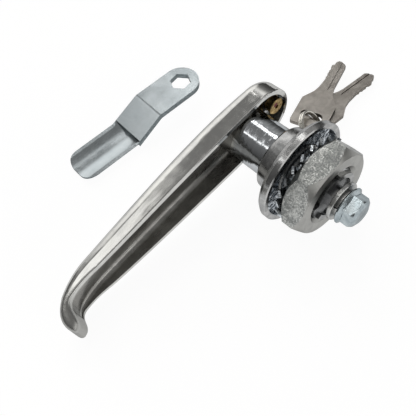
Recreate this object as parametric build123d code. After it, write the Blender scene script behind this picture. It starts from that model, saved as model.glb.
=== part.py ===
from build123d import *
import os
from math import asin, atan2, cos, degrees, hypot, pi, radians, sin, sqrt

# Keyed L-handle lock for a single-hole panel fixing, with its loose cam, two keys and split ring.
# Millimetres. The shaft runs along Y: the panel's inside is +Y, the hand side is -Y, +Z is up.
# Origin: centre of the rosette's rear seating rim. Everything lies on a floor at z = -rosette radius.

# ---- named clearances ----
RUN_GAP = 0.05          # running fit, radial
SLIP_GAP = 0.15         # easy slip fit, radial
REST_GAP = 0.02         # two faces that rest on each other
FREE_GAP = 0.4          # parts that pass without touching

# ---- rosette, stem and nut ----
rosette_d = 42.0
rosette_t = 4.3
rosette_face_d = 40.0
rim_w = 2.3
recess_depth = 2.4
collar_d = 26.0
collar_root_d = 28.4
collar_front = 11.8
stem_d = 22.0
thread_pitch = 1.5
thread_depth = 0.8
stem_len = 15.0
nut_af = 34.0
nut_t = 10.0
nut_chamfer = 2.9
nut_seat = 4.0          # the nut's panel side, drawn up on the tooth washer
nut_turn = -1.5
tooth_washer_t = 0.9
tooth_count = 22
nib_d = 3.0             # two nibs stop the rosette from turning on the panel
nib_h = 1.6
nib_at_r = 15.6
counter_r = 8.1         # the end of the bore is opened out for the stop washer
counter_depth = 3.4

# ---- hub and spindle ----
hub_d = 20.5
hub_in_collar = 5.6     # length of the hub inside the collar
spindle_d = 10.0
hex_af = 8.0
stop_washer_t = 2.2
washer_t = 1.6
swing = 90.0
lug_half = 18.0         # half width of the stop lug, degrees

spindle_head_gap = 3.4  # the spindle's blind hole stops this far behind the head's face
pin_d = 3.0
pin_y = -8.4
seal_d = 1.0
seal_y = -10.9
detent_ball_d = 3.0
detent_in = 2.85         # the ball's centre inside the hub's surface
detent_hole = 5.0
detent_sink = 0.55      # how far the ball stands out of the hub's end face

# ---- bolt and washers in the spindle end ----
bolt_thread_r = 2.95
washer_r = 7.8
spring_washer_r = 5.6
spring_washer_t = 1.4
bolt_flange_r = 7.4
bolt_head_af = 11.0
bolt_head_h = 6.8
bolt_turn = 12.0        # angle the bolt was left at

# ---- lever ----
lever_reach = 97.9      # from the shaft to the end of the toe
toe_half = 7.70         # half width at which the toe meets the floor
head_r = 13.4
head_x = -8.3
rim_y = -26.8
head_front_y = -36.3
head_round = 4.0
wall = 1.9
floor_t = 2.7
side_lean = 0.35        # draft of the side walls
# stations along the lever: outer x, outer y, rim x, rim y, half width, front radius, rim radius
lever_stations = [
    (head_x, head_front_y, head_x, rim_y, head_r - 0.03, head_round, 0.6),
    (0.143 * lever_reach, -37.4, 0.143 * lever_reach, -26.9, 13.3, 5.0, 0.6),
    (0.388 * lever_reach, -37.1, 0.388 * lever_reach, -27.0, 12.3, 5.4, 0.6),
    (0.613 * lever_reach, -36.0, 0.613 * lever_reach, -27.1, 11.0, 5.0, 0.6),
    (lever_reach - 20.9, -34.9, lever_reach - 21.4, -27.4, 9.8, 4.2, 0.7),
    (lever_reach - 12.4, -33.3, lever_reach - 14.2, -27.6, 9.2, 3.6, 1.0),
    (lever_reach - 5.7, -30.3, lever_reach - 8.9, -26.9, 8.7, 3.0, 1.3),
    (lever_reach - 1.5, -26.3, lever_reach - 6.2, -24.9, 8.2, 2.9, 2.0),
    (lever_reach, -22.3, lever_reach - 5.3, -22.3, 7.3, 2.5, 2.2),
    (lever_reach - 0.4, -19.4, lever_reach - 4.6, -20.2, 6.0, 1.9, 1.8),
    (lever_reach - 1.7, -17.9, lever_reach - 3.4, -18.5, 3.7, 0.7, 0.7),
]
# stations of the hollow back: x, floor y, half width, corner radius, open side y
hollow_stations = [
    (4.0, -34.4, head_r - wall, 1.6, -22.0),
    (0.388 * lever_reach, -34.3, 10.3, 2.6, -22.0),
    (0.613 * lever_reach, -33.2, 9.0, 2.6, -22.0),
    (lever_reach - 20.9, -32.0, 7.8, 2.3, -22.0),
    (lever_reach - 13.9, -30.8, 7.2, 2.0, -22.0),
    (lever_reach - 9.4, -29.2, 6.6, 1.5, -22.0),
    (lever_reach - 7.0, -27.5, 5.9, 1.1, -22.0),
    (lever_reach - 5.6, -25.4, 4.9, 0.8, -22.0),
]

# ---- key cylinder ----
plug_x = -15.9
plug_d = 7.4
plug_face_d = 8.2
sleeve_d = 9.2
plug_tail_y = -27.3
sleeve_rear_y = -31.2
key_slot_w = 1.9
key_slot_h = 5.9
plug_tail_d = 7.0
clip_t = 0.8
wafer_count = 4
wafer_first = head_front_y + 1.8
wafer_step = 0.95
wafer_t = 0.6
wafer_w = 4.4

# ---- locking bolt, driven by the screw groove in the plug's tail ----
bolt_throw = 1.5
bolt_d = 3.0
bolt_x = -7.3           # runs parallel to the shaft, inside the hub wall
plug_turn = 90.0
arm_t = 0.9
arm_w = 1.8
arm_y = -30.05
arm_reach = 0.7         # depth of the arm's end in the groove
groove_slip = 0.15

# ---- loose cam ----
cam_t = 2.5
cam_hole_at = (-7.8, -76.0)
cam_end_r = 8.1
cam_tip_w = 16.7
cam_bend_1 = 18.0       # distances from the hexagon hole along the cam
cam_bend_2 = 32.5
cam_len = 58.9
cam_drop = 7.0
cam_turn = -2.4
cam_trough_r = 15.0
cam_tip_round = 5.8
cam_hole_af = hex_af + 0.15
cam_hex_turn = 8.0

# ---- keys and ring ----
key_t = 1.8
blade_w = 5.8
blade_len = 18.3
bow_len = 23.2
bow_w = 15.0
bow_shoulder = 8.8
slot_at = 17.3          # slot centre behind the shoulder
slot_len = 9.5
slot_w = 4.3
ring_mean_r = 6.505
ring_wire = 1.2
ring_at = (-27.82, -19.17)
ring_tilt = 49.55        # lean of the ring's axis, and the heading it leans towards
ring_heading = 122.6
key_front_at = (-48.1, -28.21)
key_front_heading = 198.6
key_rear_at = (-51.82, -21.2)
key_rear_heading = 177.1
key_lean = 4.487         # the bows lie on the ring's wire, the blades dip
key_dip_x = -70.15       # line on the floor about which both keys lean

# ---- derived ----
rosette_r = rosette_d / 2
floor_z = -rosette_r
collar_r = collar_d / 2
stem_r = stem_d / 2
hub_r = hub_d / 2
spindle_r = spindle_d / 2
detent_r = hub_r - detent_in
# the lever dips until its toe touches the floor
lie_angle = degrees(asin(rosette_r / hypot(lever_reach - 0.5, toe_half)) - atan2(toe_half, lever_reach - 0.5))
hub_bore_end = -(collar_front - hub_in_collar)
recess_r = rosette_r - rim_w
stop_y = stem_len - counter_depth
hex_start = stop_y + 0.1
hex_end = stop_y + stop_washer_t + 3.0
spindle_top = head_front_y + spindle_head_gap
clip_y = sleeve_rear_y + REST_GAP
tail_y = clip_y + clip_t + 0.1


def turned(profile_points):
    """Solid of revolution about the shaft from (radius, y) points."""
    with BuildPart() as bp:
        with BuildSketch(Plane.XY):
            with BuildLine():
                Polyline(*[(r, y) for r, y in profile_points], close=True)
            make_face()
        revolve(axis=Axis.Y)
    return bp.part


def rod(radius, y0, y1, x=0.0, z=0.0):
    """Round bar along Y between two stations."""
    plane = Plane(origin=(x, y0, z), x_dir=(1, 0, 0), z_dir=(0, 1, 0))
    return extrude(plane * Circle(radius), y1 - y0)


def hex_bar(across_flats, y0, y1):
    plane = Plane(origin=(0, y0, 0), x_dir=(1, 0, 0), z_dir=(0, 1, 0))
    return extrude(plane * RegularPolygon(across_flats / 2, 6, major_radius=False), y1 - y0)


def sector(r_in, r_out, a0, a1, y0, y1):
    """Ring sector about the shaft; angles from +X towards +Z, in degrees."""
    n = max(3, int(abs(a1 - a0) / 12))
    angles = [radians(a0 + (a1 - a0) * i / n) for i in range(n + 1)]
    outer = [(r_out / cos(radians((a1 - a0) / n / 2)) * cos(a), r_out * sin(a)) for a in angles]
    inner = [(r_in * cos(a), r_in * sin(a)) for a in reversed(angles)]
    plane = Plane(origin=(0, y0, 0), x_dir=(1, 0, 0), z_dir=(0, -1, 0))
    face = plane * make_face(Polyline(*(outer + inner), close=True))
    return extrude(face, -(y1 - y0))


def thread_ridges(r_out, y0, y1):
    """Zigzag (radius, y) points of a V thread between two stations."""
    turns = int((y1 - y0) / thread_pitch)
    points = []
    for i in range(turns):
        y = y0 + i * thread_pitch
        points.append((r_out - thread_depth, y))
        points.append((r_out, y + thread_pitch / 2))
    points.append((r_out - thread_depth, y0 + turns * thread_pitch))
    return points


def base_rosette():
    """Collar, rosette with recessed back, threaded stem with its stop gap: one casting."""
    ridge = thread_ridges(stem_r, -recess_depth + 0.6, stem_len - 0.9)
    outline = [
        (hub_r + RUN_GAP, -collar_front),
        (collar_r - 0.7, -collar_front),
        (collar_r, -collar_front + 0.7),
        (collar_root_d / 2, -rosette_t - 0.6),
        (collar_root_d / 2 + 0.6, -rosette_t),
        (rosette_face_d / 2 - 0.8, -rosette_t),
        (rosette_face_d / 2, -rosette_t + 0.5),
        (rosette_r, -rosette_t + 1.9),
        (rosette_r, -0.4),
        (rosette_r - 0.4, 0.0),
        (recess_r + 0.3, 0.0),
        (recess_r, -0.3),
        (recess_r, -recess_depth),
        (stem_r - thread_depth, -recess_depth),
    ]
    outline += ridge
    outline += [
        (stem_r - 0.9, stem_len),
        (counter_r, stem_len),
        (counter_r, stop_y),
        (spindle_r + RUN_GAP, stop_y),
        (spindle_r + RUN_GAP, hub_bore_end),
        (hub_r + RUN_GAP, hub_bore_end),
    ]
    body = turned(outline)
    gap_from, gap_to = -lug_half - 0.2, swing + lug_half + 0.2
    body -= sector(counter_r - 1, stem_r + 1, gap_from, gap_to, stop_y, stem_len + 1)
    for a in (35.0, 215.0):
        x, z = nib_at_r * cos(radians(a)), nib_at_r * sin(radians(a))
        body += rod(nib_d / 2, -recess_depth - 0.5, -recess_depth + nib_h, x, z)
    for a in (0.0, 90.0):
        dimple = Sphere(detent_ball_d / 2 + RUN_GAP)
        body -= Pos(detent_r * cos(radians(a)), hub_bore_end, detent_r * sin(radians(a))) * dimple
    body -= detent_track()
    for a in (180.0, 270.0):
        x, z = -bolt_x * cos(radians(a)), -bolt_x * sin(radians(a))
        body -= rod(bolt_d / 2 + SLIP_GAP, hub_bore_end - 1, hub_bore_end + bolt_throw + 0.4, x, z)
    return body


def detent_track():
    """Shallow quarter track in the hub seat on which the ball rolls between its dimples."""
    r = detent_ball_d / 2
    half = sqrt(r * r - (r - detent_sink) ** 2) + 0.1
    face = make_face(Polyline(
        (detent_r - half, hub_bore_end - 0.3),
        (detent_r + half, hub_bore_end - 0.3),
        (detent_r + half * 0.6, hub_bore_end + detent_sink + 0.1),
        (detent_r - half * 0.6, hub_bore_end + detent_sink + 0.1),
        close=True,
    ))
    return Rot(0, -swing, 0) * revolve(face, Axis.Y, swing)


def mounting_nut():
    """Hexagon nut, chamfered on both faces, threaded on the stem."""
    body = hex_bar(nut_af, nut_seat, nut_seat + nut_t)
    corner = nut_af / 2 / cos(pi / 6)
    face = corner - nut_chamfer
    cone = turned([
        (0, nut_seat),
        (face, nut_seat),
        (corner + 0.2, nut_seat + nut_chamfer + 0.2),
        (corner + 0.2, nut_seat + nut_t - nut_chamfer - 0.2),
        (face, nut_seat + nut_t),
        (0, nut_seat + nut_t),
    ])
    body = body & cone
    body = Rot(0, nut_turn, 0) * body
    lead = 1.3
    bore_r = stem_r + RUN_GAP
    body -= turned([
        (0, nut_seat - 1),
        (bore_r + lead + 1, nut_seat - 1),
        (bore_r, nut_seat + lead),
        (bore_r, nut_seat + nut_t - lead),
        (bore_r + lead + 1, nut_seat + nut_t + 1),
        (0, nut_seat + nut_t + 1),
    ])
    return body


def tooth_washer():
    """External-tooth lock washer: a flat ring with twisted teeth that bite the recess and the nut."""
    seat = nut_seat - REST_GAP
    ring_in = stem_r + 0.3
    ring_out = stem_r + 3.0
    mid = seat - 1.2
    body = turned([
        (ring_in, mid - tooth_washer_t / 2),
        (ring_out, mid - tooth_washer_t / 2),
        (ring_out, mid + tooth_washer_t / 2),
        (ring_in, mid + tooth_washer_t / 2),
    ])
    tooth = Box(4.6, tooth_washer_t, 2.7)
    for i in range(tooth_count):
        a = 360.0 / tooth_count * i
        body += Rot(0, a, 0) * Pos(ring_out + 1.5, mid, 0) * Rot(32, 0, 0) * tooth
    return body


def tapered(half, depth):
    """Trapezium with the casting's draft: wide at the open side, narrower at the floor."""
    narrow = half - side_lean
    return make_face(Polyline((-half, 0), (half, 0), (narrow, depth), (-narrow, depth), close=True))


def lever_section(ox, oy, ix, iy, half, r_front, r_rim):
    """Lever cross-section between an outer and a rim point of the side view."""
    depth = sqrt((ox - ix) ** 2 + (oy - iy) ** 2)
    outward = Vector((ox - ix) / depth, (oy - iy) / depth, 0)
    plane = Plane(origin=(ix, iy, 0), x_dir=(0, 0, 1), z_dir=Vector(0, 0, 1).cross(outward))
    face = tapered(half, depth)
    face = fillet(face.vertices().group_by(Axis.Y)[-1], r_front)
    face = fillet(face.vertices().group_by(Axis.Y)[0], r_rim)
    return plane * face


def hollow_section(x, floor_y, half, radius, open_y):
    """Cross-section of the open back; its floor corners are rounded."""
    depth = open_y - floor_y
    plane = Plane(origin=(x, open_y, 0), x_dir=(0, 0, 1), z_dir=(1, 0, 0))
    face = tapered(half, depth)
    return plane * fillet(face.vertices().group_by(Axis.Y)[-1], radius)


def head_disc(radius, y_rim, y_front, r_front, r_rim, lean):
    """Round end of the head about the cylinder-side axis."""
    corners = [(0, y_rim), (radius, y_rim), (radius - lean, y_front), (0, y_front)]
    face = make_face(Polyline(*corners, close=True))
    if r_rim > 0:
        face = fillet(face.vertices().filter_by(lambda v: v.X > 1).sort_by(Axis.Y)[-1], r_rim)
    face = fillet(face.vertices().filter_by(lambda v: v.X > 1).sort_by(Axis.Y)[0], r_front)
    return Pos(head_x, 0, 0) * revolve(face, Axis.Y)


def handle():
    """Lever, head and hub: one casting, hollow at the back, solid hooked toe."""
    body = loft([lever_section(*st) for st in lever_stations[:5]])
    body += loft([lever_section(*st) for st in lever_stations[4:7]])
    body += loft([lever_section(*st) for st in lever_stations[6:]])
    body += head_disc(head_r, rim_y, head_front_y, head_round, 0.6, side_lean)
    body -= loft([hollow_section(*st) for st in hollow_stations[:4]])
    body -= loft([hollow_section(*st) for st in hollow_stations[3:]])
    pocket_y = head_front_y + floor_t
    open_y = hollow_stations[0][4]
    body -= head_disc(head_r - wall, open_y, pocket_y, head_round - 1.4, 0, side_lean)
    mid = hollow_stations[0][0] + 0.1
    bridge = Box(mid - head_x, open_y - pocket_y, 2 * (head_r - wall) - 0.6)
    body -= Pos((head_x + mid) / 2, (pocket_y + open_y) / 2, 0) * bridge
    web_y = rim_y - 1.2
    body += Pos(0, (pocket_y + web_y - 0.6) / 2, 0) * Box(9.0, web_y - pocket_y + 0.6, 2 * head_r - 2.4)
    body += rod(1.7, pocket_y - 0.5, rim_y - 2.4, head_x - 3.1, 9.4)
    body += rod(hub_r, pocket_y - 0.5, hub_bore_end - REST_GAP)
    body -= rod(spindle_r, spindle_top, hub_bore_end + 1)
    body -= pin_hole()
    body -= rod(bolt_d / 2 + SLIP_GAP, arm_y - 0.3, hub_bore_end + 1, bolt_x)
    window = Box(6.0, bolt_throw + arm_t + 0.6, arm_w + 0.3)
    body -= Pos(bolt_x - 3.0, arm_y + (bolt_throw + arm_t) / 2, 0) * window
    body -= rod(detent_ball_d / 2 + RUN_GAP, hub_bore_end - detent_hole, hub_bore_end + 1, detent_r)
    body -= ring_groove()
    body -= rod(sleeve_d / 2, head_front_y - 2, sleeve_rear_y + 5, plug_x)
    return body


def pin_hole():
    return Pos(0, pin_y, 0) * Cylinder(pin_d / 2, 4 * hub_r)


def ring_groove():
    """Groove of the sealing ring round the hub."""
    return turned([
        (hub_r - seal_d, seal_y - seal_d / 2 - 0.05),
        (hub_r + 1, seal_y - seal_d / 2 - 0.05),
        (hub_r + 1, seal_y + seal_d / 2 + 0.05),
        (hub_r - seal_d, seal_y + seal_d / 2 + 0.05),
    ])


def sealing_ring():
    profile = Pos(hub_r - seal_d / 2 + 0.02, seal_y, 0) * Circle(seal_d / 2)
    return revolve(profile, Axis.Y)


def spindle():
    """Steel spindle: round through the stem, hexagon for the cam, tapped end."""
    body = rod(spindle_r, spindle_top + REST_GAP, hex_start)
    body += hex_bar(hex_af, hex_start - 0.5, hex_end) & rod(spindle_r - 0.4, hex_start - 0.5, hex_end)
    body -= pin_hole()
    body -= rod(bolt_thread_r, hex_end - 9.0, hex_end + 1)
    return body


def cross_pin():
    return Pos(0, pin_y, 0) * Cylinder(pin_d / 2, 2 * hub_r - 0.6)


def stop_washer():
    """Washer on the hexagon whose lug meets the ends of the stop gap."""
    y0 = hex_start + REST_GAP
    y1 = y0 + stop_washer_t
    body = rod(counter_r - SLIP_GAP, y0, y1)
    body += sector(counter_r - 1.5, stem_r - 0.5, -lug_half, lug_half, y0, y1)
    return body - hex_bar(hex_af + 0.04, y0 - 1, y1 + 1)


def plain_washer():
    y0 = hex_end + REST_GAP
    return turned([
        (bolt_thread_r + 0.3, y0),
        (washer_r - 0.2, y0),
        (washer_r, y0 + 0.2),
        (washer_r, y0 + washer_t - 0.2),
        (washer_r - 0.2, y0 + washer_t),
        (bolt_thread_r + 0.3, y0 + washer_t),
    ])


def lock_washer():
    """Split spring washer under the bolt head, drawn nearly flat."""
    y0 = hex_end + washer_t + 2 * REST_GAP
    body = turned([
        (bolt_thread_r + 0.25, y0),
        (spring_washer_r, y0),
        (spring_washer_r, y0 + spring_washer_t),
        (bolt_thread_r + 0.25, y0 + spring_washer_t),
    ])
    return body - Rot(0, -35, 0) * Pos(spring_washer_r, y0 + 0.5, 0) * Rot(25, 0, 0) * Box(8, 4, 0.5)


def cam_bolt():
    """Flanged hexagon bolt in the spindle end."""
    y0 = hex_end + washer_t + spring_washer_t + 3 * REST_GAP
    body = turned([
        (0, y0),
        (bolt_flange_r - 0.5, y0),
        (bolt_flange_r, y0 + 0.5),
        (bolt_flange_r, y0 + 0.9),
        (bolt_head_af / 2 + 0.3, y0 + 2.0),
        (0, y0 + 2.0),
    ])
    head = Rot(0, bolt_turn, 0) * hex_bar(bolt_head_af, y0 + 0.5, y0 + bolt_head_h)
    corner = bolt_head_af / 2 / cos(pi / 6)
    head = head & turned([
        (0, y0),
        (corner + 0.1, y0),
        (corner + 0.1, y0 + bolt_head_h - 2.0),
        (corner - 0.9, y0 + bolt_head_h - 0.8),
        (corner - 2.6, y0 + bolt_head_h),
        (0, y0 + bolt_head_h),
    ])
    body += head
    body += rod(bolt_thread_r, hex_end - 8.0, y0 + 0.5)
    return body


def detent_ball():
    y = hub_bore_end - REST_GAP - detent_ball_d / 2 + detent_sink
    return Pos(detent_r, y, 0) * Sphere(detent_ball_d / 2)


def coil(mean_r, wire, length, turns):
    """Compression spring along +Y from the origin."""
    helix = Helix(pitch=(length - wire) / turns, height=length - wire, radius=mean_r)
    start = Plane(origin=helix @ 0, z_dir=helix % 0)
    body = sweep(start * RegularPolygon(wire / 2, 6), path=helix, is_frenet=True)
    return Rot(-90, 0, 0) * Pos(0, 0, wire / 2) * body


def detent_spring():
    tail = hub_bore_end - detent_hole
    front = hub_bore_end - REST_GAP - detent_ball_d + detent_sink
    length = front - tail - 2 * REST_GAP + 0.35
    return Pos(detent_r, tail + REST_GAP, 0) * coil(0.85, 0.4, length, 3.5)


def cylinder_sleeve():
    """Brass sleeve of the key cylinder, flush with the head's face."""
    return turned_at(plug_x, [
        (plug_face_d / 2 + RUN_GAP, head_front_y - 0.3),
        (sleeve_d / 2 - 0.2, head_front_y - 0.3),
        (sleeve_d / 2, head_front_y - 0.1),
        (sleeve_d / 2, sleeve_rear_y),
        (plug_d / 2 + RUN_GAP, sleeve_rear_y),
        (plug_d / 2 + RUN_GAP, head_front_y + 1.2),
        (plug_face_d / 2 + RUN_GAP, head_front_y + 1.2),
    ])


def turned_at(x, profile_points):
    return Pos(x, 0, 0) * turned(profile_points)


def plug():
    """Turning plug with keyway, wafer slots and, in its tail, the screw groove of the bolt's arm."""
    front = head_front_y - 0.25
    body = turned_at(plug_x, [
        (0, front),
        (plug_face_d / 2 - 0.2, front),
        (plug_face_d / 2, front + 0.2),
        (plug_face_d / 2, head_front_y + 1.15),
        (plug_d / 2, head_front_y + 1.15),
        (plug_d / 2, tail_y),
        (plug_tail_d / 2, tail_y),
        (plug_tail_d / 2, plug_tail_y - 0.3),
        (plug_tail_d / 2 - 0.3, plug_tail_y),
        (0, plug_tail_y),
    ])
    depth = plug_tail_y - 1.6 - front
    body -= Pos(plug_x, front + depth / 2 - 0.5, 0) * Box(key_slot_w, depth + 1, key_slot_h)
    for i in range(wafer_count):
        y = wafer_first + i * wafer_step
        body -= Pos(plug_x, y, 0) * Box(wafer_w + 0.1, wafer_t + 0.1, plug_d - 1.0)
    body -= turned_at(plug_x, [
        (plug_d / 2 - 0.6, clip_y),
        (plug_d / 2 + 1, clip_y),
        (plug_d / 2 + 1, clip_y + clip_t + 0.02),
        (plug_d / 2 - 0.6, clip_y + clip_t + 0.02),
    ])
    steps = 15
    for i in range(steps + 1):
        y = arm_y + arm_t / 2 + bolt_throw * i / steps
        cut = Box(arm_reach + 1, arm_t + 2 * groove_slip, arm_w + 2 * groove_slip)
        cut = Pos(plug_tail_d / 2 - arm_reach - groove_slip + (arm_reach + 1) / 2, y, 0) * cut
        body -= Pos(plug_x, 0, 0) * Rot(0, plug_turn * i / steps, 0) * cut
    return body - rod(0.9, plug_tail_y - 1.2, plug_tail_y + 1, plug_x)


def wafers():
    """Wafers in the plug's slots, flush with the plug while the key is in."""
    barrel = rod(plug_d / 2 - 0.05, head_front_y, sleeve_rear_y, plug_x)
    stack = []
    for i in range(wafer_count):
        y = wafer_first + i * wafer_step
        wafer = Pos(plug_x, y, 0) * Box(wafer_w, wafer_t, plug_d - 1.1)
        stack.append((wafer & barrel) - Pos(plug_x, y, 0) * Box(key_slot_w + 0.4, 2, key_slot_h - 1.3))
    return Part() + stack


def plug_clip():
    """Open retaining ring in the plug's groove behind the sleeve."""
    body = turned_at(plug_x, [
        (plug_d / 2 - 0.58, clip_y),
        (sleeve_d / 2 - 0.25, clip_y),
        (sleeve_d / 2 - 0.25, clip_y + clip_t),
        (plug_d / 2 - 0.58, clip_y + clip_t),
    ])
    return body - Pos(plug_x, clip_y, -3.6) * Box(3.0, 4, 5.0)


def lock_bolt():
    """Locking bolt in the hub wall; its arm ends in the screw groove of the plug's tail."""
    body = rod(bolt_d / 2, arm_y, hub_bore_end - REST_GAP - 0.05, bolt_x)
    arm_end = plug_x + plug_tail_d / 2 - arm_reach
    return body + Pos((bolt_x + arm_end) / 2, arm_y + arm_t / 2, 0) * Box(bolt_x - arm_end, arm_t, arm_w)


def loose_cam():
    """Offset cam: flat hexagon end, two bends, trough-shaped blade. Lies on its blade."""
    t = cam_t
    up = cam_drop
    half_w = cam_tip_w / 2
    profile = make_face(Polyline(
        (-cam_end_r, up), (cam_bend_1, up), (cam_bend_2, 0), (cam_len, 0),
        (cam_len, t), (cam_bend_2 + 0.6, t), (cam_bend_1 + 0.6, up + t), (-cam_end_r, up + t), close=True,
    ))
    for x, radius in ((cam_bend_1, 2.0), (cam_bend_1 + 0.6, 3.4), (cam_bend_2, 4.4), (cam_bend_2 + 0.6, 3.0)):
        profile = fillet([v for v in profile.vertices() if abs(v.X - x) < 0.05], radius)
    strip = extrude(Plane.XZ * profile, half_w, both=True)
    outline = make_face(Polyline(
        (0, -cam_end_r), (cam_bend_1, -cam_end_r), (cam_bend_2, -half_w), (cam_len, -half_w),
        (cam_len, half_w), (cam_bend_2, half_w), (cam_bend_1, cam_end_r), (0, cam_end_r), close=True,
    ))
    outline = fillet(outline.vertices().group_by(Axis.X)[-1], cam_tip_round)
    outline += Circle(cam_end_r)
    strip = strip & extrude(outline, 30, both=True)
    hexagon = Rot(0, 0, cam_hex_turn) * RegularPolygon(cam_hole_af / 2, 6, major_radius=False)
    strip -= extrude(hexagon, 30, both=True)
    blade_x = (cam_bend_2 + cam_len + 2) / 2
    trough = Rot(0, 90, 0) * Cylinder(cam_trough_r, 2 * (cam_len - cam_bend_2 + 1.5))
    trough = Pos(0, 0, cam_trough_r + 0.9) * trough
    strip -= Pos(cam_len, 0, 0) * trough
    strip -= Pos(blade_x, 0, 0) * cam_underside()
    return Pos(cam_hole_at[0], cam_hole_at[1], floor_z) * Rot(0, 0, cam_turn) * strip


def cam_underside():
    """Rounds the blade's underside so that the plate keeps one thickness."""
    r = cam_trough_r + cam_t - 0.9
    block = Box(cam_len - cam_bend_2 + 4, 2 * cam_tip_w, 4.0)
    block = Pos(0, 0, 2.0) * block
    return block - Pos(0, 0, r) * Rot(0, 90, 0) * Cylinder(r, 200)


def key_solid():
    """Flat key: blade with shallow cuts and two grooves, bow with a ring slot; tip towards +X."""
    hb = blade_w / 2
    tip = blade_len
    root = [(-1.0, -hb - 0.5), (2.6, -hb)]
    cuts = []
    for along, depth in zip((0.30, 0.42, 0.54, 0.66), (0.35, 0.6, 0.25, 0.55)):
        cuts += [(along * tip, -hb + depth), ((along + 0.06) * tip, -hb + 0.05)]
    nose = [(0.80 * tip, -hb), (0.84 * tip, -hb + 0.9), (0.94 * tip, -hb + 1.1), (tip, -0.9), (tip, 1.0)]
    back = [(tip - 1.9, hb - 0.1), (2.6, hb), (-1.0, hb + 0.5)]
    blade = make_face(Polyline(*(root + cuts + nose + back), close=True))
    wide = bow_w / 2
    side = [(1.0, hb), (-3.6, hb + 1.4), (-bow_shoulder, wide), (-bow_len, wide)]
    bow = make_face(Polyline(*(side + [(x, -y) for x, y in reversed(side)]), close=True))
    bow = fillet(bow.vertices().group_by(Axis.X)[0], 1.2)
    body = extrude(blade + bow, key_t)
    slot = Pos(-slot_at, 0, 0) * Rot(0, 0, 90) * SlotOverall(slot_len, slot_w)
    body -= extrude(slot, key_t + 1, both=True)
    groove = Box(blade_len + 2, 1.0, 0.8)
    for y, z in ((0.9, key_t), (1.1, 0.0)):
        body -= Pos(blade_len / 2 + 0.5, y, z) * groove
    return body


def key_at(place, heading, level, turned_over=False):
    """A key of the pair: both lean by the same angle about one line on the floor."""
    key = key_solid()
    if turned_over:
        key = Pos(0, 0, key_t) * Rot(180, 0, 0) * key
    rest = Pos(place[0], place[1], level) * Rot(0, 0, heading) * key
    pivot = Pos(key_dip_x, 0, floor_z)
    return pivot * Rot(0, -key_lean, 0) * pivot.inverse() * rest


def key_ring():
    """Split ring of two touching turns; it leans with one side on the floor, through both slots."""
    turn = Torus(ring_mean_r, ring_wire / 2)
    half = ring_wire / 2 - 0.05
    body = Pos(0, 0, -half) * turn + Pos(0, 0, half) * turn
    tilt, heading = radians(ring_tilt), radians(ring_heading)
    axis = (sin(tilt) * cos(heading), sin(tilt) * sin(heading), cos(tilt))
    rise = ring_mean_r * sin(tilt) + half * cos(tilt) + ring_wire / 2
    return Plane(origin=(ring_at[0], ring_at[1], floor_z + rise), z_dir=axis) * body


def lying(solid):
    """Lock pieces dip with the lever so that the toe rests on the floor."""
    return Rot(0, lie_angle, 0) * solid


LOCK = {
    "base_rosette": base_rosette,
    "tooth_washer": tooth_washer,
    "mounting_nut": mounting_nut,
    "handle": handle,
    "spindle": spindle,
    "cross_pin": cross_pin,
    "sealing_ring": sealing_ring,
    "stop_washer": stop_washer,
    "plain_washer": plain_washer,
    "spring_washer": lock_washer,
    "cam_bolt": cam_bolt,
    "detent_ball": detent_ball,
    "detent_spring": detent_spring,
    "cylinder_sleeve": cylinder_sleeve,
    "cylinder_plug": plug,
    "plug_wafers": wafers,
    "plug_clip": plug_clip,
    "lock_bolt": lock_bolt,
}

os.makedirs("parts", exist_ok=True)
for name, make in LOCK.items():
    export_step(lying(make()), f"parts/{name}.step")
export_step(loose_cam(), "parts/loose_cam.step")
export_step(key_at(key_rear_at, key_rear_heading, floor_z), "parts/key_rear.step")
front_key = key_at(key_front_at, key_front_heading, floor_z + key_t + REST_GAP, turned_over=True)
export_step(front_key, "parts/key_front.step")
export_step(key_ring(), "parts/key_ring.step")
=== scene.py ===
from math import radians

import bpy
from mathutils import Matrix, Vector

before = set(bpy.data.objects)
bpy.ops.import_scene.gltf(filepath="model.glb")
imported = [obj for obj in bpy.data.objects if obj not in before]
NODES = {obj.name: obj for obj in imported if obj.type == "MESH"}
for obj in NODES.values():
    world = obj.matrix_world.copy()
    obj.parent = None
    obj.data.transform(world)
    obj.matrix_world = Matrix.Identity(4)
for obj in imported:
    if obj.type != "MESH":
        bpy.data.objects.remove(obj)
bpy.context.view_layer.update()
MM = 0.001
LIE = radians(7.8916)           # the lock lies turned by this angle about its shaft
FLOOR_Z = -21.0 * MM            # the rosette's radius below the shaft
FLOOR_GAP = 0.02 * MM           # keeps the floor clear of the faces that rest on it
FLOOR_RADIUS = 0.34
FLOOR_GLOW = 1.15               # brightness of the white sheet where a ray sees it
FLOOR_GLOW_SHARE = 0.80
BACKDROP = 0.98                 # brightness behind the sheet, seen by the camera alone
EDGE_ANGLE = radians(32)        # only sharper corners than this are softened
GRAZING = 0.55                  # how much a metal still reflects at a grazing angle
EYE = (0.1083, 0.0834, 0.1975)
LOOK = (-0.3175, -0.4254, -0.8475)
HEAD_UP = (-0.6305, -0.5729, 0.5237)
SENSOR = 36.0
LENS = 56.2
SIDE_SHIFT = 0.003


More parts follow.
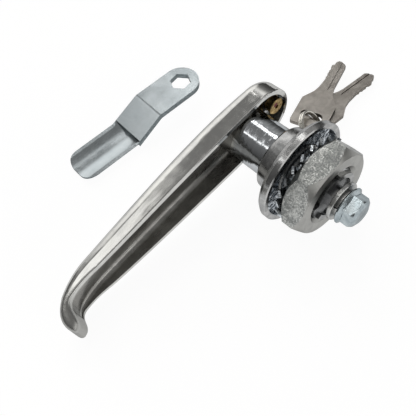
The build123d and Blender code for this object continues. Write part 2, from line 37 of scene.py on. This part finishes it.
# ---------------------------------------------------------------- node helpers
class Tree:
    """Small helper round a node tree: every call adds a node and returns its first output."""

    def __init__(self, tree):
        self.tree = tree
        self.nodes = tree.nodes
        self.links = tree.links

    def add(self, kind, **props):
        node = self.nodes.new(kind)
        for key, value in props.items():
            setattr(node, key, value)
        return node

    def feed(self, socket, value):
        if isinstance(value, bpy.types.NodeSocket):
            self.links.new(value, socket)
        elif value is not None:
            socket.default_value = value

    def math(self, op, a, b=None, clamp=False):
        node = self.add("ShaderNodeMath", operation=op, use_clamp=clamp)
        for socket, value in zip(node.inputs, (a, b)):
            self.feed(socket, value)
        return node.outputs[0]

    def vec(self, op, a, b=None):
        node = self.add("ShaderNodeVectorMath", operation=op)
        self.feed(node.inputs[0], a)
        if b is not None:
            self.feed(node.inputs[1], b)
        return node.outputs["Value"] if op in ("DOT_PRODUCT", "LENGTH") else node.outputs[0]

    def remap(self, value, lo, hi, to_lo=0.0, to_hi=1.0):
        """A smooth step from to_lo to to_hi, as value goes from lo to hi."""
        node = self.add("ShaderNodeMapRange", interpolation_type="SMOOTHSTEP")
        for socket, v in zip(node.inputs, (value, lo, hi, to_lo, to_hi)):
            self.feed(socket, v)
        return node.outputs[0]

    def mix(self, factor, a, b):
        node = self.add("ShaderNodeMix", data_type="RGBA")
        self.feed(node.inputs["Factor"], factor)
        self.feed(node.inputs["A"], rgba(a))
        self.feed(node.inputs["B"], rgba(b))
        return node.outputs["Result"]

    def blend(self, factor, a, b):
        """a*(1-factor) + b*factor for plain numbers."""
        node = self.add("ShaderNodeMix", data_type="FLOAT")
        for socket, v in zip((node.inputs[0], node.inputs[2], node.inputs[3]), (factor, a, b)):
            self.feed(socket, v)
        return node.outputs[0]

    def noise(self, where, scale, detail=3.0, rough=0.5, warp=0.0):
        node = self.add("ShaderNodeTexNoise")
        self.feed(node.inputs["Vector"], where)
        node.inputs["Scale"].default_value = scale
        node.inputs["Detail"].default_value = detail
        node.inputs["Roughness"].default_value = rough
        node.inputs["Distortion"].default_value = warp
        return node.outputs[0]

    def cells(self, where, scale):
        """Distance to the middle of rounded, irregular cells."""
        node = self.add("ShaderNodeTexVoronoi", feature="SMOOTH_F1")
        self.feed(node.inputs["Vector"], where)
        node.inputs["Scale"].default_value = scale
        return node.outputs[0]

    def stretch(self, where, sx, sy, sz, turn=(0.0, 0.0, 0.0)):
        node = self.add("ShaderNodeMapping")
        self.feed(node.inputs["Vector"], where)
        node.inputs["Rotation"].default_value = turn
        node.inputs["Scale"].default_value = (sx, sy, sz)
        return node.outputs[0]

    def bump(self, height, distance, below=None):
        """A bump of that height in metres, on top of the normal below."""
        node = self.add("ShaderNodeBump")
        node.inputs["Strength"].default_value = 1.0
        node.inputs["Distance"].default_value = distance
        self.feed(node.inputs["Height"], height)
        if below is not None:
            self.feed(node.inputs["Normal"], below)
        return node.outputs[0]

    def split(self, where):
        node = self.add("ShaderNodeSeparateXYZ")
        self.feed(node.inputs[0], where)
        return node.outputs

    def join(self, x, y, z):
        node = self.add("ShaderNodeCombineXYZ")
        for socket, v in zip(node.inputs, (x, y, z)):
            self.feed(socket, v)
        return node.outputs[0]

    def curve(self, value, points):
        """A number looked up on a line through (input, output) points, both within 0..1."""
        node = self.add("ShaderNodeFloatCurve")
        line = node.mapping.curves[0]
        while len(line.points) < len(points):
            line.points.new(0.5, 0.5)
        for point, (x, y) in zip(line.points, points):
            point.location = (x, y)
            point.handle_type = "VECTOR"
        node.mapping.update()
        self.feed(node.inputs["Value"], value)
        return node.outputs[0]


def rgba(value):
    """Adds alpha to a colour of three numbers; sockets pass through."""
    if isinstance(value, (tuple, list)) and len(value) == 3:
        return (*value, 1.0)
    return value


def material(name):
    """A new material with its node helper, its shader and the object's own coordinates."""
    mat = bpy.data.materials.new(name)
    mat.use_nodes = True
    t = Tree(mat.node_tree)
    shader = mat.node_tree.nodes["Principled BSDF"]
    place = t.add("ShaderNodeTexCoord").outputs["Object"]
    return mat, t, shader, place


def paint(shader, t, colour, rough, normal=None, metallic=1.0):
    """Feeds the shader, with a metal's reflection held down at a grazing angle."""
    t.feed(shader.inputs["Base Color"], rgba(colour))
    shader.inputs["Specular Tint"].default_value = rgba((GRAZING, GRAZING, GRAZING))
    t.feed(shader.inputs["Roughness"], rough)
    t.feed(shader.inputs["Metallic"], metallic)
    if normal is not None:
        t.feed(shader.inputs["Normal"], normal)


def level(t, place):
    """Position in the lock's own frame, before it was laid down: the lever runs along +X."""
    return t.stretch(place, 1, 1, 1, turn=(0.0, -LIE, 0.0))


def from_shaft(t, x, z):
    """Distance from the shaft's axis."""
    return t.math("SQRT", t.math("ADD", t.math("MULTIPLY", x, x), t.math("MULTIPLY", z, z)))


def scratches(t, place, scale, turn):
    """Thin wandering hairlines, 0 or 1."""
    along = t.stretch(place, scale * 0.06, scale, scale, turn)
    line = t.noise(along, 1.0, 2.0, 0.6)
    return t.remap(t.math("ABSOLUTE", t.math("SUBTRACT", line, 0.5)), 0.004, 0.0, 0.0, 1.0)


# ---------------------------------------------------------------- metals
# The lever's hollow back, in mm: place along the lever and half width there.
HOLLOW = ((-30, 0.0), (-20.2, 0.0), (-19, 4.6), (-14, 10.2), (-8.3, 11.6), (4, 11.5), (38, 10.3),
          (60, 9.0), (77, 7.8), (84, 7.2), (88.5, 6.6), (92.3, 4.9), (110, 4.9))
HOLLOW_START = HOLLOW[0][0]
HOLLOW_SPAN = HOLLOW[-1][0] - HOLLOW_START
HOLLOW_TOP = 20                 # the half widths are looked up as shares of this


def chrome_handle():
    """Bright chrome on a zinc casting: slightly wavy, and satin in the hollow back, which painted shade
    darkens.
    """
    mat, t, shader, place = material("chrome_handle")
    own = level(t, place)
    x, y, z = t.split(own)
    along = t.math("MULTIPLY", t.math("SUBTRACT", x, HOLLOW_START * MM), 1 / (HOLLOW_SPAN * MM))
    half = t.curve(along, [((at - HOLLOW_START) / HOLLOW_SPAN, wide / HOLLOW_TOP) for at, wide in HOLLOW])
    inner = t.math("SUBTRACT", t.math("MULTIPLY", half, HOLLOW_TOP * MM), t.math("ABSOLUTE", z))
    inside = t.remap(inner, -0.0003, 0.0)
    # behind the lever's front wall, in front of its rim, and short of the toe
    for limit in (t.remap(y, -0.0351, -0.0346), t.remap(y, -0.0268, -0.0273), t.remap(x, 0.0926, 0.0921)):
        inside = t.math("MULTIPLY", inside, limit)
    slow = t.noise(own, 55.0, 2.0, 0.45)
    mid = t.noise(t.stretch(own, 0.35, 1.0, 1.0), 230.0, 3.0, 0.5, 0.6)
    fine = t.noise(place, 2400.0, 2.0, 0.6)
    patch = t.noise(own, 120.0, 4.0, 0.6, 0.8)
    lines = scratches(t, own, 900.0, (0.0, 0.25, 0.1))
    colour = t.mix(t.remap(patch, 0.35, 0.7), (0.57, 0.57, 0.555), (0.67, 0.67, 0.645))
    # the hollow back's colour: the casting's satin tone, darkened with painted shade
    cast_tone_and_shade = t.mix(t.remap(patch, 0.3, 0.75), (0.30, 0.295, 0.28), (0.46, 0.455, 0.435))
    # painted shade: the colour darkens towards the toe, which is also rougher; cooler and rippled on the hub
    toe = t.math("MULTIPLY", t.remap(x, 0.084, 0.094), t.remap(y, -0.0335, -0.026))
    hub = t.math("MULTIPLY", t.remap(y, -0.0275, -0.0245), t.remap(x, 0.016, 0.012))
    # painted shade: the toe's colour turns darker
    colour = t.mix(t.math("MULTIPLY", toe, 0.8), colour, (0.38, 0.38, 0.365))
    colour = t.mix(hub, colour, (0.50, 0.52, 0.54))
    # painted shade: the hollow back takes that darker colour
    colour = t.mix(inside, colour, cast_tone_and_shade)
    rough = t.remap(patch, 0.35, 0.75, 0.075, 0.17)
    rough = t.math("ADD", rough, t.math("MULTIPLY", toe, 0.28))
    rough = t.math("ADD", rough, t.math("MULTIPLY", lines, 0.10))
    rough = t.blend(inside, rough, t.remap(mid, 0.3, 0.7, 0.24, 0.36))
    normal = t.bump(slow, 0.0004)
    normal = t.bump(mid, 0.00003, normal)
    normal = t.bump(fine, 0.000006, normal)
    ripple = t.noise(t.stretch(own, 0.4, 1.0, 0.4), 620.0, 1.0, 0.5)
    normal = t.bump(t.math("MULTIPLY", ripple, hub), 0.00012, normal)
    paint(shader, t, colour, rough, normal)
    return mat


def chrome_rosette():
    """Chrome of the rosette; its recessed back is crumpled and bluish from casting and plating, with painted
    glints along the crumples.
    """
    mat, t, shader, place = material("chrome_rosette")
    own = level(t, place)
    x, y, z = t.split(own)
    radius = from_shaft(t, x, z)
    # inside the rim and outside the stem, from the recess's floor to the rim's face
    recess = t.remap(radius, 0.0190, 0.0186)
    for limit in (t.remap(y, -0.0035, -0.0028), t.remap(y, 0.0001, -0.0004), t.remap(radius, 0.0108, 0.0112)):
        recess = t.math("MULTIPLY", recess, limit)
    slow = t.noise(own, 70.0, 2.0, 0.5)
    patch = t.noise(own, 260.0, 4.0, 0.6, 0.6)
    crumple = t.cells(t.stretch(own, 1.0, 0.5, 1.0), 520.0)
    fine = t.noise(place, 1900.0, 3.0, 0.6)
    colour = t.mix(t.remap(patch, 0.35, 0.7), (0.36, 0.365, 0.365), (0.54, 0.54, 0.535))
    # the recess's bluish tone with painted glints: brighter along the edges of the crumples
    recess_tone_and_glints = t.mix(t.remap(crumple, 0.15, 0.7), (0.27, 0.30, 0.33), (0.74, 0.78, 0.82))
    # painted glints in the recess
    colour = t.mix(recess, colour, recess_tone_and_glints)
    rough = t.blend(recess, t.remap(patch, 0.35, 0.75, 0.16, 0.30), 0.22)
    normal = t.bump(slow, 0.0004)
    normal = t.bump(patch, 0.00006, normal)
    normal = t.bump(t.math("MULTIPLY", crumple, recess), 0.0009, normal)
    normal = t.bump(fine, 0.00001, normal)
    paint(shader, t, colour, rough, normal)
    return mat


def plated(name, low, high, rough_lo, rough_hi, wave=0.0002, wave_scale=120.0):
    """Zinc or nickel plate: blotchy tone, fine grain, faint waviness and a few hairlines."""
    mat, t, shader, place = material(name)
    blotch = t.noise(place, 220.0, 4.0, 0.62, 0.5)
    fine = t.noise(place, 1500.0, 3.0, 0.65)
    slow = t.noise(place, wave_scale, 2.0, 0.5)
    lines = scratches(t, place, 1100.0, (0.3, 0.7, 0.5))
    tone = t.math("ADD", t.math("MULTIPLY", blotch, 0.75), t.math("MULTIPLY", fine, 0.25))
    colour = t.mix(t.remap(tone, 0.34, 0.66), low, high)
    rough = t.remap(blotch, 0.35, 0.7, rough_lo, rough_hi)
    rough = t.math("ADD", rough, t.math("MULTIPLY", lines, 0.08))
    normal = t.bump(slow, wave)
    normal = t.bump(fine, 0.00002, normal)
    paint(shader, t, colour, rough, normal)
    return mat


def sheet(name, low, high, rim_highlight_tone, rim_highlight_share, side_shade_low, side_shade_high, rough_lo, rough_hi,
          blotch_scale=90.0, grain=0.000008):
    """Plated flat piece: smooth faces, a painted highlight on the rounded rims and painted shade on the
    sheared sides.
    """
    mat, t, shader, place = material(name)
    facing = t.math("ABSOLUTE", t.split(t.add("ShaderNodeTexCoord").outputs["Normal"])[2])
    # masks for the painted shade on the sides and the painted highlight on the rims
    side = t.remap(facing, 0.42, 0.22)
    rim = t.math("MULTIPLY", t.remap(facing, 0.35, 0.5), t.remap(facing, 0.84, 0.76))
    blotch = t.noise(place, blotch_scale, 4.0, 0.62, 0.5)
    fine = t.noise(place, 1500.0, 3.0, 0.65)
    slow = t.noise(place, 60.0, 2.0, 0.5)
    lines = scratches(t, place, 1100.0, (0.3, 0.7, 0.5))
    colour = t.mix(t.remap(blotch, 0.3, 0.7), low, high)
    # painted highlight on the rounded rims
    colour = t.mix(t.math("MULTIPLY", rim, rim_highlight_share), colour, rim_highlight_tone)
    # painted shade on the sides
    colour = t.mix(side, colour, t.mix(t.remap(fine, 0.35, 0.65), side_shade_low, side_shade_high))
    rough = t.math("ADD", t.remap(blotch, 0.35, 0.7, rough_lo, rough_hi), t.math("MULTIPLY", lines, 0.08))
    normal = t.bump(slow, 0.0001)
    normal = t.bump(fine, grain, normal)
    paint(shader, t, colour, rough, normal)
    return mat


def nut_plate():
    """Zinc plate of the nut: coarse speckle on the flats, a finely turned face, painted shade on the chamfer
    and a painted highlight along the edges round the flats.
    """
    mat, t, shader, place = material("nut_zinc")
    facing = t.math("ABSOLUTE", t.split(t.add("ShaderNodeTexCoord").outputs["Normal"])[1])
    flats = t.remap(facing, 0.35, 0.2)
    cone = t.math("MULTIPLY", t.remap(facing, 0.55, 0.7), t.remap(facing, 0.985, 0.95))
    x, _, z = t.split(place)
    radius = from_shaft(t, x, z)
    rings = t.noise(t.join(radius, 0.0, 0.0), 3200.0, 2.0, 0.6)
    blotch = t.noise(place, 240.0, 4.0, 0.62, 0.5)
    speckle = t.noise(place, 1500.0, 3.0, 0.65)
    face = t.mix(t.remap(blotch, 0.35, 0.65), (0.40, 0.40, 0.385), (0.49, 0.49, 0.47))
    sparkle = t.math("ADD", t.math("MULTIPLY", speckle, 0.6), t.math("MULTIPLY", blotch, 0.4))
    rough_flat = t.mix(t.remap(sparkle, 0.40, 0.62), (0.25, 0.26, 0.255), (0.58, 0.59, 0.57))
    colour = t.mix(flats, face, rough_flat)
    # painted shade: the chamfer darker
    colour = t.mix(t.math("MULTIPLY", cone, 0.35), colour, (0.26, 0.26, 0.25))
    # painted highlight along the rounded edges between the flats and the chamfer
    edge = t.math("MULTIPLY", t.remap(facing, 0.22, 0.35), t.remap(facing, 0.66, 0.55))
    colour = t.mix(t.math("MULTIPLY", edge, 0.85), colour, (0.80, 0.80, 0.78))
    rough = t.blend(flats, t.remap(blotch, 0.35, 0.7, 0.30, 0.40), t.remap(sparkle, 0.4, 0.62, 0.38, 0.24))
    normal = t.bump(blotch, 0.00012)
    normal = t.bump(t.math("MULTIPLY", speckle, flats), 0.00003, normal)
    normal = t.bump(rings, 0.000012, normal)
    paint(shader, t, colour, rough, normal)
    return mat


def brass(name, mark=None):
    """Turned brass, dulled, with fine rings; a small red paint dot where mark says."""
    mat, t, shader, place = material(name)
    blotch = t.noise(place, 700.0, 4.0, 0.6)
    fine = t.noise(place, 3500.0, 2.0, 0.6)
    colour = t.mix(t.remap(blotch, 0.3, 0.7), (0.30, 0.20, 0.09), (0.62, 0.47, 0.24))
    rough = t.remap(blotch, 0.3, 0.7, 0.24, 0.42)
    metallic = 1.0
    if mark is not None:
        away = t.vec("LENGTH", t.vec("SUBTRACT", place, mark))
        away = t.math("ADD", away, t.math("MULTIPLY", fine, 0.0006))
        dot = t.remap(away, 0.0015, 0.0011)
        colour = t.mix(dot, colour, (0.20, 0.012, 0.02))
        metallic = t.math("SUBTRACT", 1.0, t.math("MULTIPLY", dot, 0.8))
    normal = t.bump(blotch, 0.00006)
    normal = t.bump(fine, 0.00001, normal)
    paint(shader, t, colour, rough, normal, metallic)
    return mat


def rubber():
    """Black, dull sealing ring."""
    mat, t, shader, place = material("nitrile_rubber")
    grain = t.noise(place, 2500.0, 3.0, 0.6)
    colour = t.mix(grain, (0.012, 0.012, 0.013), (0.03, 0.03, 0.032))
    paint(shader, t, colour, t.remap(grain, 0.3, 0.7, 0.45, 0.6), t.bump(grain, 0.00001), 0.0)
    return mat


# The paint dot's place on the plug's tail, before the lock was laid down.
paint_dot = Matrix.Rotation(LIE, 3, "Y") @ Vector((-15.5 * MM, -27.2 * MM, 1.6 * MM))
chrome = chrome_handle()
rosette = chrome_rosette()
nut_zinc = nut_plate()
washer_zinc = plated("washer_zinc", (0.40, 0.41, 0.42), (0.60, 0.60, 0.58), 0.20, 0.32)
tooth_zinc = plated("tooth_washer_zinc", (0.38, 0.415, 0.445), (0.82, 0.86, 0.89), 0.18, 0.32, wave=0.0006,
                    wave_scale=420.0)
turned_steel = plated("turned_steel", (0.32, 0.32, 0.33), (0.52, 0.52, 0.52), 0.16, 0.28)
dark_steel = plated("dark_steel", (0.16, 0.165, 0.17), (0.32, 0.325, 0.33), 0.20, 0.34)
bolt_zinc = plated("bolt_blue_zinc", (0.29, 0.335, 0.355), (0.50, 0.555, 0.575), 0.14, 0.24, wave=0.0003)
# cam and keys: two face colours, then the painted highlight on the rims and its share, then two colours of
# painted shade on the sides
cam_zinc = sheet("cam_blue_zinc", (0.43, 0.475, 0.495), (0.52, 0.565, 0.585), (0.80, 0.84, 0.86), 0.9,
                 (0.10, 0.12, 0.125), (0.22, 0.25, 0.26), 0.20, 0.27)
key_nickel = sheet("key_nickel", (0.37, 0.345, 0.315), (0.54, 0.51, 0.47), (0.62, 0.59, 0.54), 0.5,
                   (0.13, 0.12, 0.105), (0.26, 0.24, 0.215), 0.30, 0.42, blotch_scale=200.0, grain=0.00003)
ring_nickel = plated("ring_nickel", (0.66, 0.64, 0.58), (0.92, 0.90, 0.84), 0.16, 0.26)
brass_plain = brass("turned_brass")
brass_plug = brass("plug_brass", tuple(paint_dot))

LOOKS = {
    "base_rosette": rosette,
    "tooth_washer": tooth_zinc,
    "mounting_nut": nut_zinc,
    "handle": chrome,
    "spindle": turned_steel,
    "cross_pin": turned_steel,
    "sealing_ring": rubber(),
    "stop_washer": dark_steel,
    "plain_washer": washer_zinc,
    "spring_washer": washer_zinc,
    "cam_bolt": bolt_zinc,
    "detent_ball": turned_steel,
    "detent_spring": turned_steel,
    "cylinder_sleeve": brass_plain,
    "cylinder_plug": brass_plug,
    "plug_wafers": brass_plain,
    "plug_clip": dark_steel,
    "lock_bolt": turned_steel,
    "loose_cam": cam_zinc,
    "key_rear": key_nickel,
    "key_front": key_nickel,
    "key_ring": ring_nickel,
}
for name, look in LOOKS.items():
    node = NODES[name]
    node.data.materials.clear()
    node.data.materials.append(look)

# ---------------------------------------------------------------- softened edges
# Width in mm and number of steps.
EDGES = {
    "handle": (0.22, 2), "base_rosette": (0.15, 2), "mounting_nut": (0.35, 3), "cam_bolt": (0.45, 3),
    "plain_washer": (0.2, 2), "stop_washer": (0.2, 2), "spring_washer": (0.15, 2), "spindle": (0.2, 2),
    "loose_cam": (0.75, 4), "key_rear": (0.22, 2), "key_front": (0.22, 2), "tooth_washer": (0.15, 2),
}
for name, (width, steps) in EDGES.items():
    bevel = NODES[name].modifiers.new("edges", "BEVEL")
    bevel.width = width * MM
    bevel.segments = steps
    bevel.limit_method = "ANGLE"
    bevel.angle_limit = EDGE_ANGLE
    bevel.use_clamp_overlap = True

# ---------------------------------------------------------------- floor
bpy.ops.mesh.primitive_circle_add(
    vertices=96, radius=FLOOR_RADIUS, fill_type="NGON", location=(0, 0, FLOOR_Z - FLOOR_GAP))
floor = bpy.context.object
floor.name = "floor"
mat, t, shader, place = material("white_sheet")
paint(shader, t, (0.86, 0.86, 0.86), 0.9, None, 0.0)
path = t.add("ShaderNodeLightPath")
# it glows for what sees it straight or in a mirror, and lights nothing else
seen = t.math("ADD", path.outputs["Is Camera Ray"], path.outputs["Is Glossy Ray"], clamp=True)
seen = t.math("ADD", seen, path.outputs["Is Transmission Ray"], clamp=True)
glow = t.add("ShaderNodeEmission")
glow.inputs["Strength"].default_value = FLOOR_GLOW
both = t.add("ShaderNodeMixShader")
t.feed(both.inputs[0], t.math("MULTIPLY", seen, FLOOR_GLOW_SHARE))
t.links.new(shader.outputs[0], both.inputs[1])
t.links.new(glow.outputs[0], both.inputs[2])
t.links.new(both.outputs[0], t.nodes["Material Output"].inputs["Surface"])
floor.data.materials.append(mat)

# ---------------------------------------------------------------- studio room
world = bpy.data.worlds.new("studio")
bpy.context.scene.world = world
world.use_nodes = True
w = Tree(world.node_tree)
away = w.add("ShaderNodeTexCoord").outputs["Generated"]
height = w.split(away)[2]


def window(centre, up, half_w, half_h, soft, strength, ribs=0.0):
    """Brightness of a soft-edged rectangular lamp in the given direction; ribs break up its middle line."""
    n = Vector(centre).normalized()
    a = n.cross(Vector(up)).normalized()
    b = a.cross(n)
    ahead = w.vec("DOT_PRODUCT", away, tuple(n))
    across = w.math("DIVIDE", w.vec("DOT_PRODUCT", away, tuple(a)), w.math("MAXIMUM", ahead, 0.02))
    along = w.math("DIVIDE", w.vec("DOT_PRODUCT", away, tuple(b)), w.math("MAXIMUM", ahead, 0.02))
    lit = w.remap(w.math("ABSOLUTE", across), half_w + soft, half_w - soft)
    lit = w.math("MULTIPLY", lit, w.remap(w.math("ABSOLUTE", along), half_h + soft, half_h - soft))
    lit = w.math("MULTIPLY", lit, w.remap(ahead, 0.02, 0.1))
    if ribs:
        wave = w.math("SINE", w.math("MULTIPLY", across, ribs))
        wobble = w.math("SINE", w.math("MULTIPLY", across, ribs * 0.37))
        gap = w.remap(w.math("ADD", wave, wobble), -0.3, 0.3)
        gap = w.math("MULTIPLY", gap, w.remap(w.math("ABSOLUTE", along), half_h * 0.7, half_h * 0.35))
        lit = w.math("MULTIPLY", lit, w.math("SUBTRACT", 1.0, w.math("MULTIPLY", gap, 0.95)))
    return w.math("MULTIPLY", lit, strength)


total = w.remap(height, -0.05, 0.95, 0.09, 0.26)
# Direction, up, half width, half height, softness and strength of each lamp.
lamps = [
    window((-0.42, -0.43, 0.80), (1, 0, 0), 0.085, 0.095, 0.02, 5.0, ribs=150.0),
    window((0.46, -0.43, 0.78), (1, 0, 0), 0.085, 0.050, 0.03, 3.0),
    window((0.19, -0.57, 0.80), (0, 0, 1), 0.20, 0.060, 0.06, 1.25),
    window((0.35, -0.60, 0.72), (0, 0, 1), 0.10, 0.10, 0.06, 0.65),
    window((-0.315, -0.875, 0.367), (0, 0, 1), 0.50, 0.44, 0.147, 1.15),
    window((-0.75, -0.30, 0.60), (0, 0, 1), 0.25, 0.25, 0.25, 0.25),
    window((-0.20, 0.9, 0.30), (0, 0, 1), 0.7, 0.18, 0.12, 1.2),
    window((-0.16, -0.27, 0.94), (1, 0, 0), 0.05, 0.16, 0.05, 1.3),
    window((0.17, -0.24, 0.95), (1, 0, 0), 0.05, 0.06, 0.03, 3.5),
    window((0.32, 0.03, 0.95), (1, 0, 0), 0.12, 0.10, 0.12, 0.7),
]
for lamp in lamps:
    total = w.math("ADD", total, lamp)
straight = w.add("ShaderNodeLightPath").outputs["Is Camera Ray"]
total = w.blend(straight, total, BACKDROP)
sky = world.node_tree.nodes["Background"]
w.links.new(total, sky.inputs["Strength"])
sky.inputs["Color"].default_value = (1.0, 0.99, 0.975, 1.0)

# ---------------------------------------------------------------- camera
# It looks down on the nut's side, as in the photograph.
camera = bpy.data.objects.new("camera", bpy.data.cameras.new("camera"))
bpy.context.collection.objects.link(camera)
forward = Vector(LOOK).normalized()
right = forward.cross(Vector(HEAD_UP)).normalized()
upward = right.cross(forward)
turn = Matrix((right, upward, -forward)).transposed()
camera.matrix_world = Matrix.Translation(EYE) @ turn.to_4x4()
camera.data.sensor_width = SENSOR
camera.data.lens = LENS
camera.data.shift_x = SIDE_SHIFT
camera.data.clip_start = 0.01
bpy.context.scene.camera = camera
bpy.context.scene.view_settings.view_transform = "Standard"

bpy.context.view_layer.update()
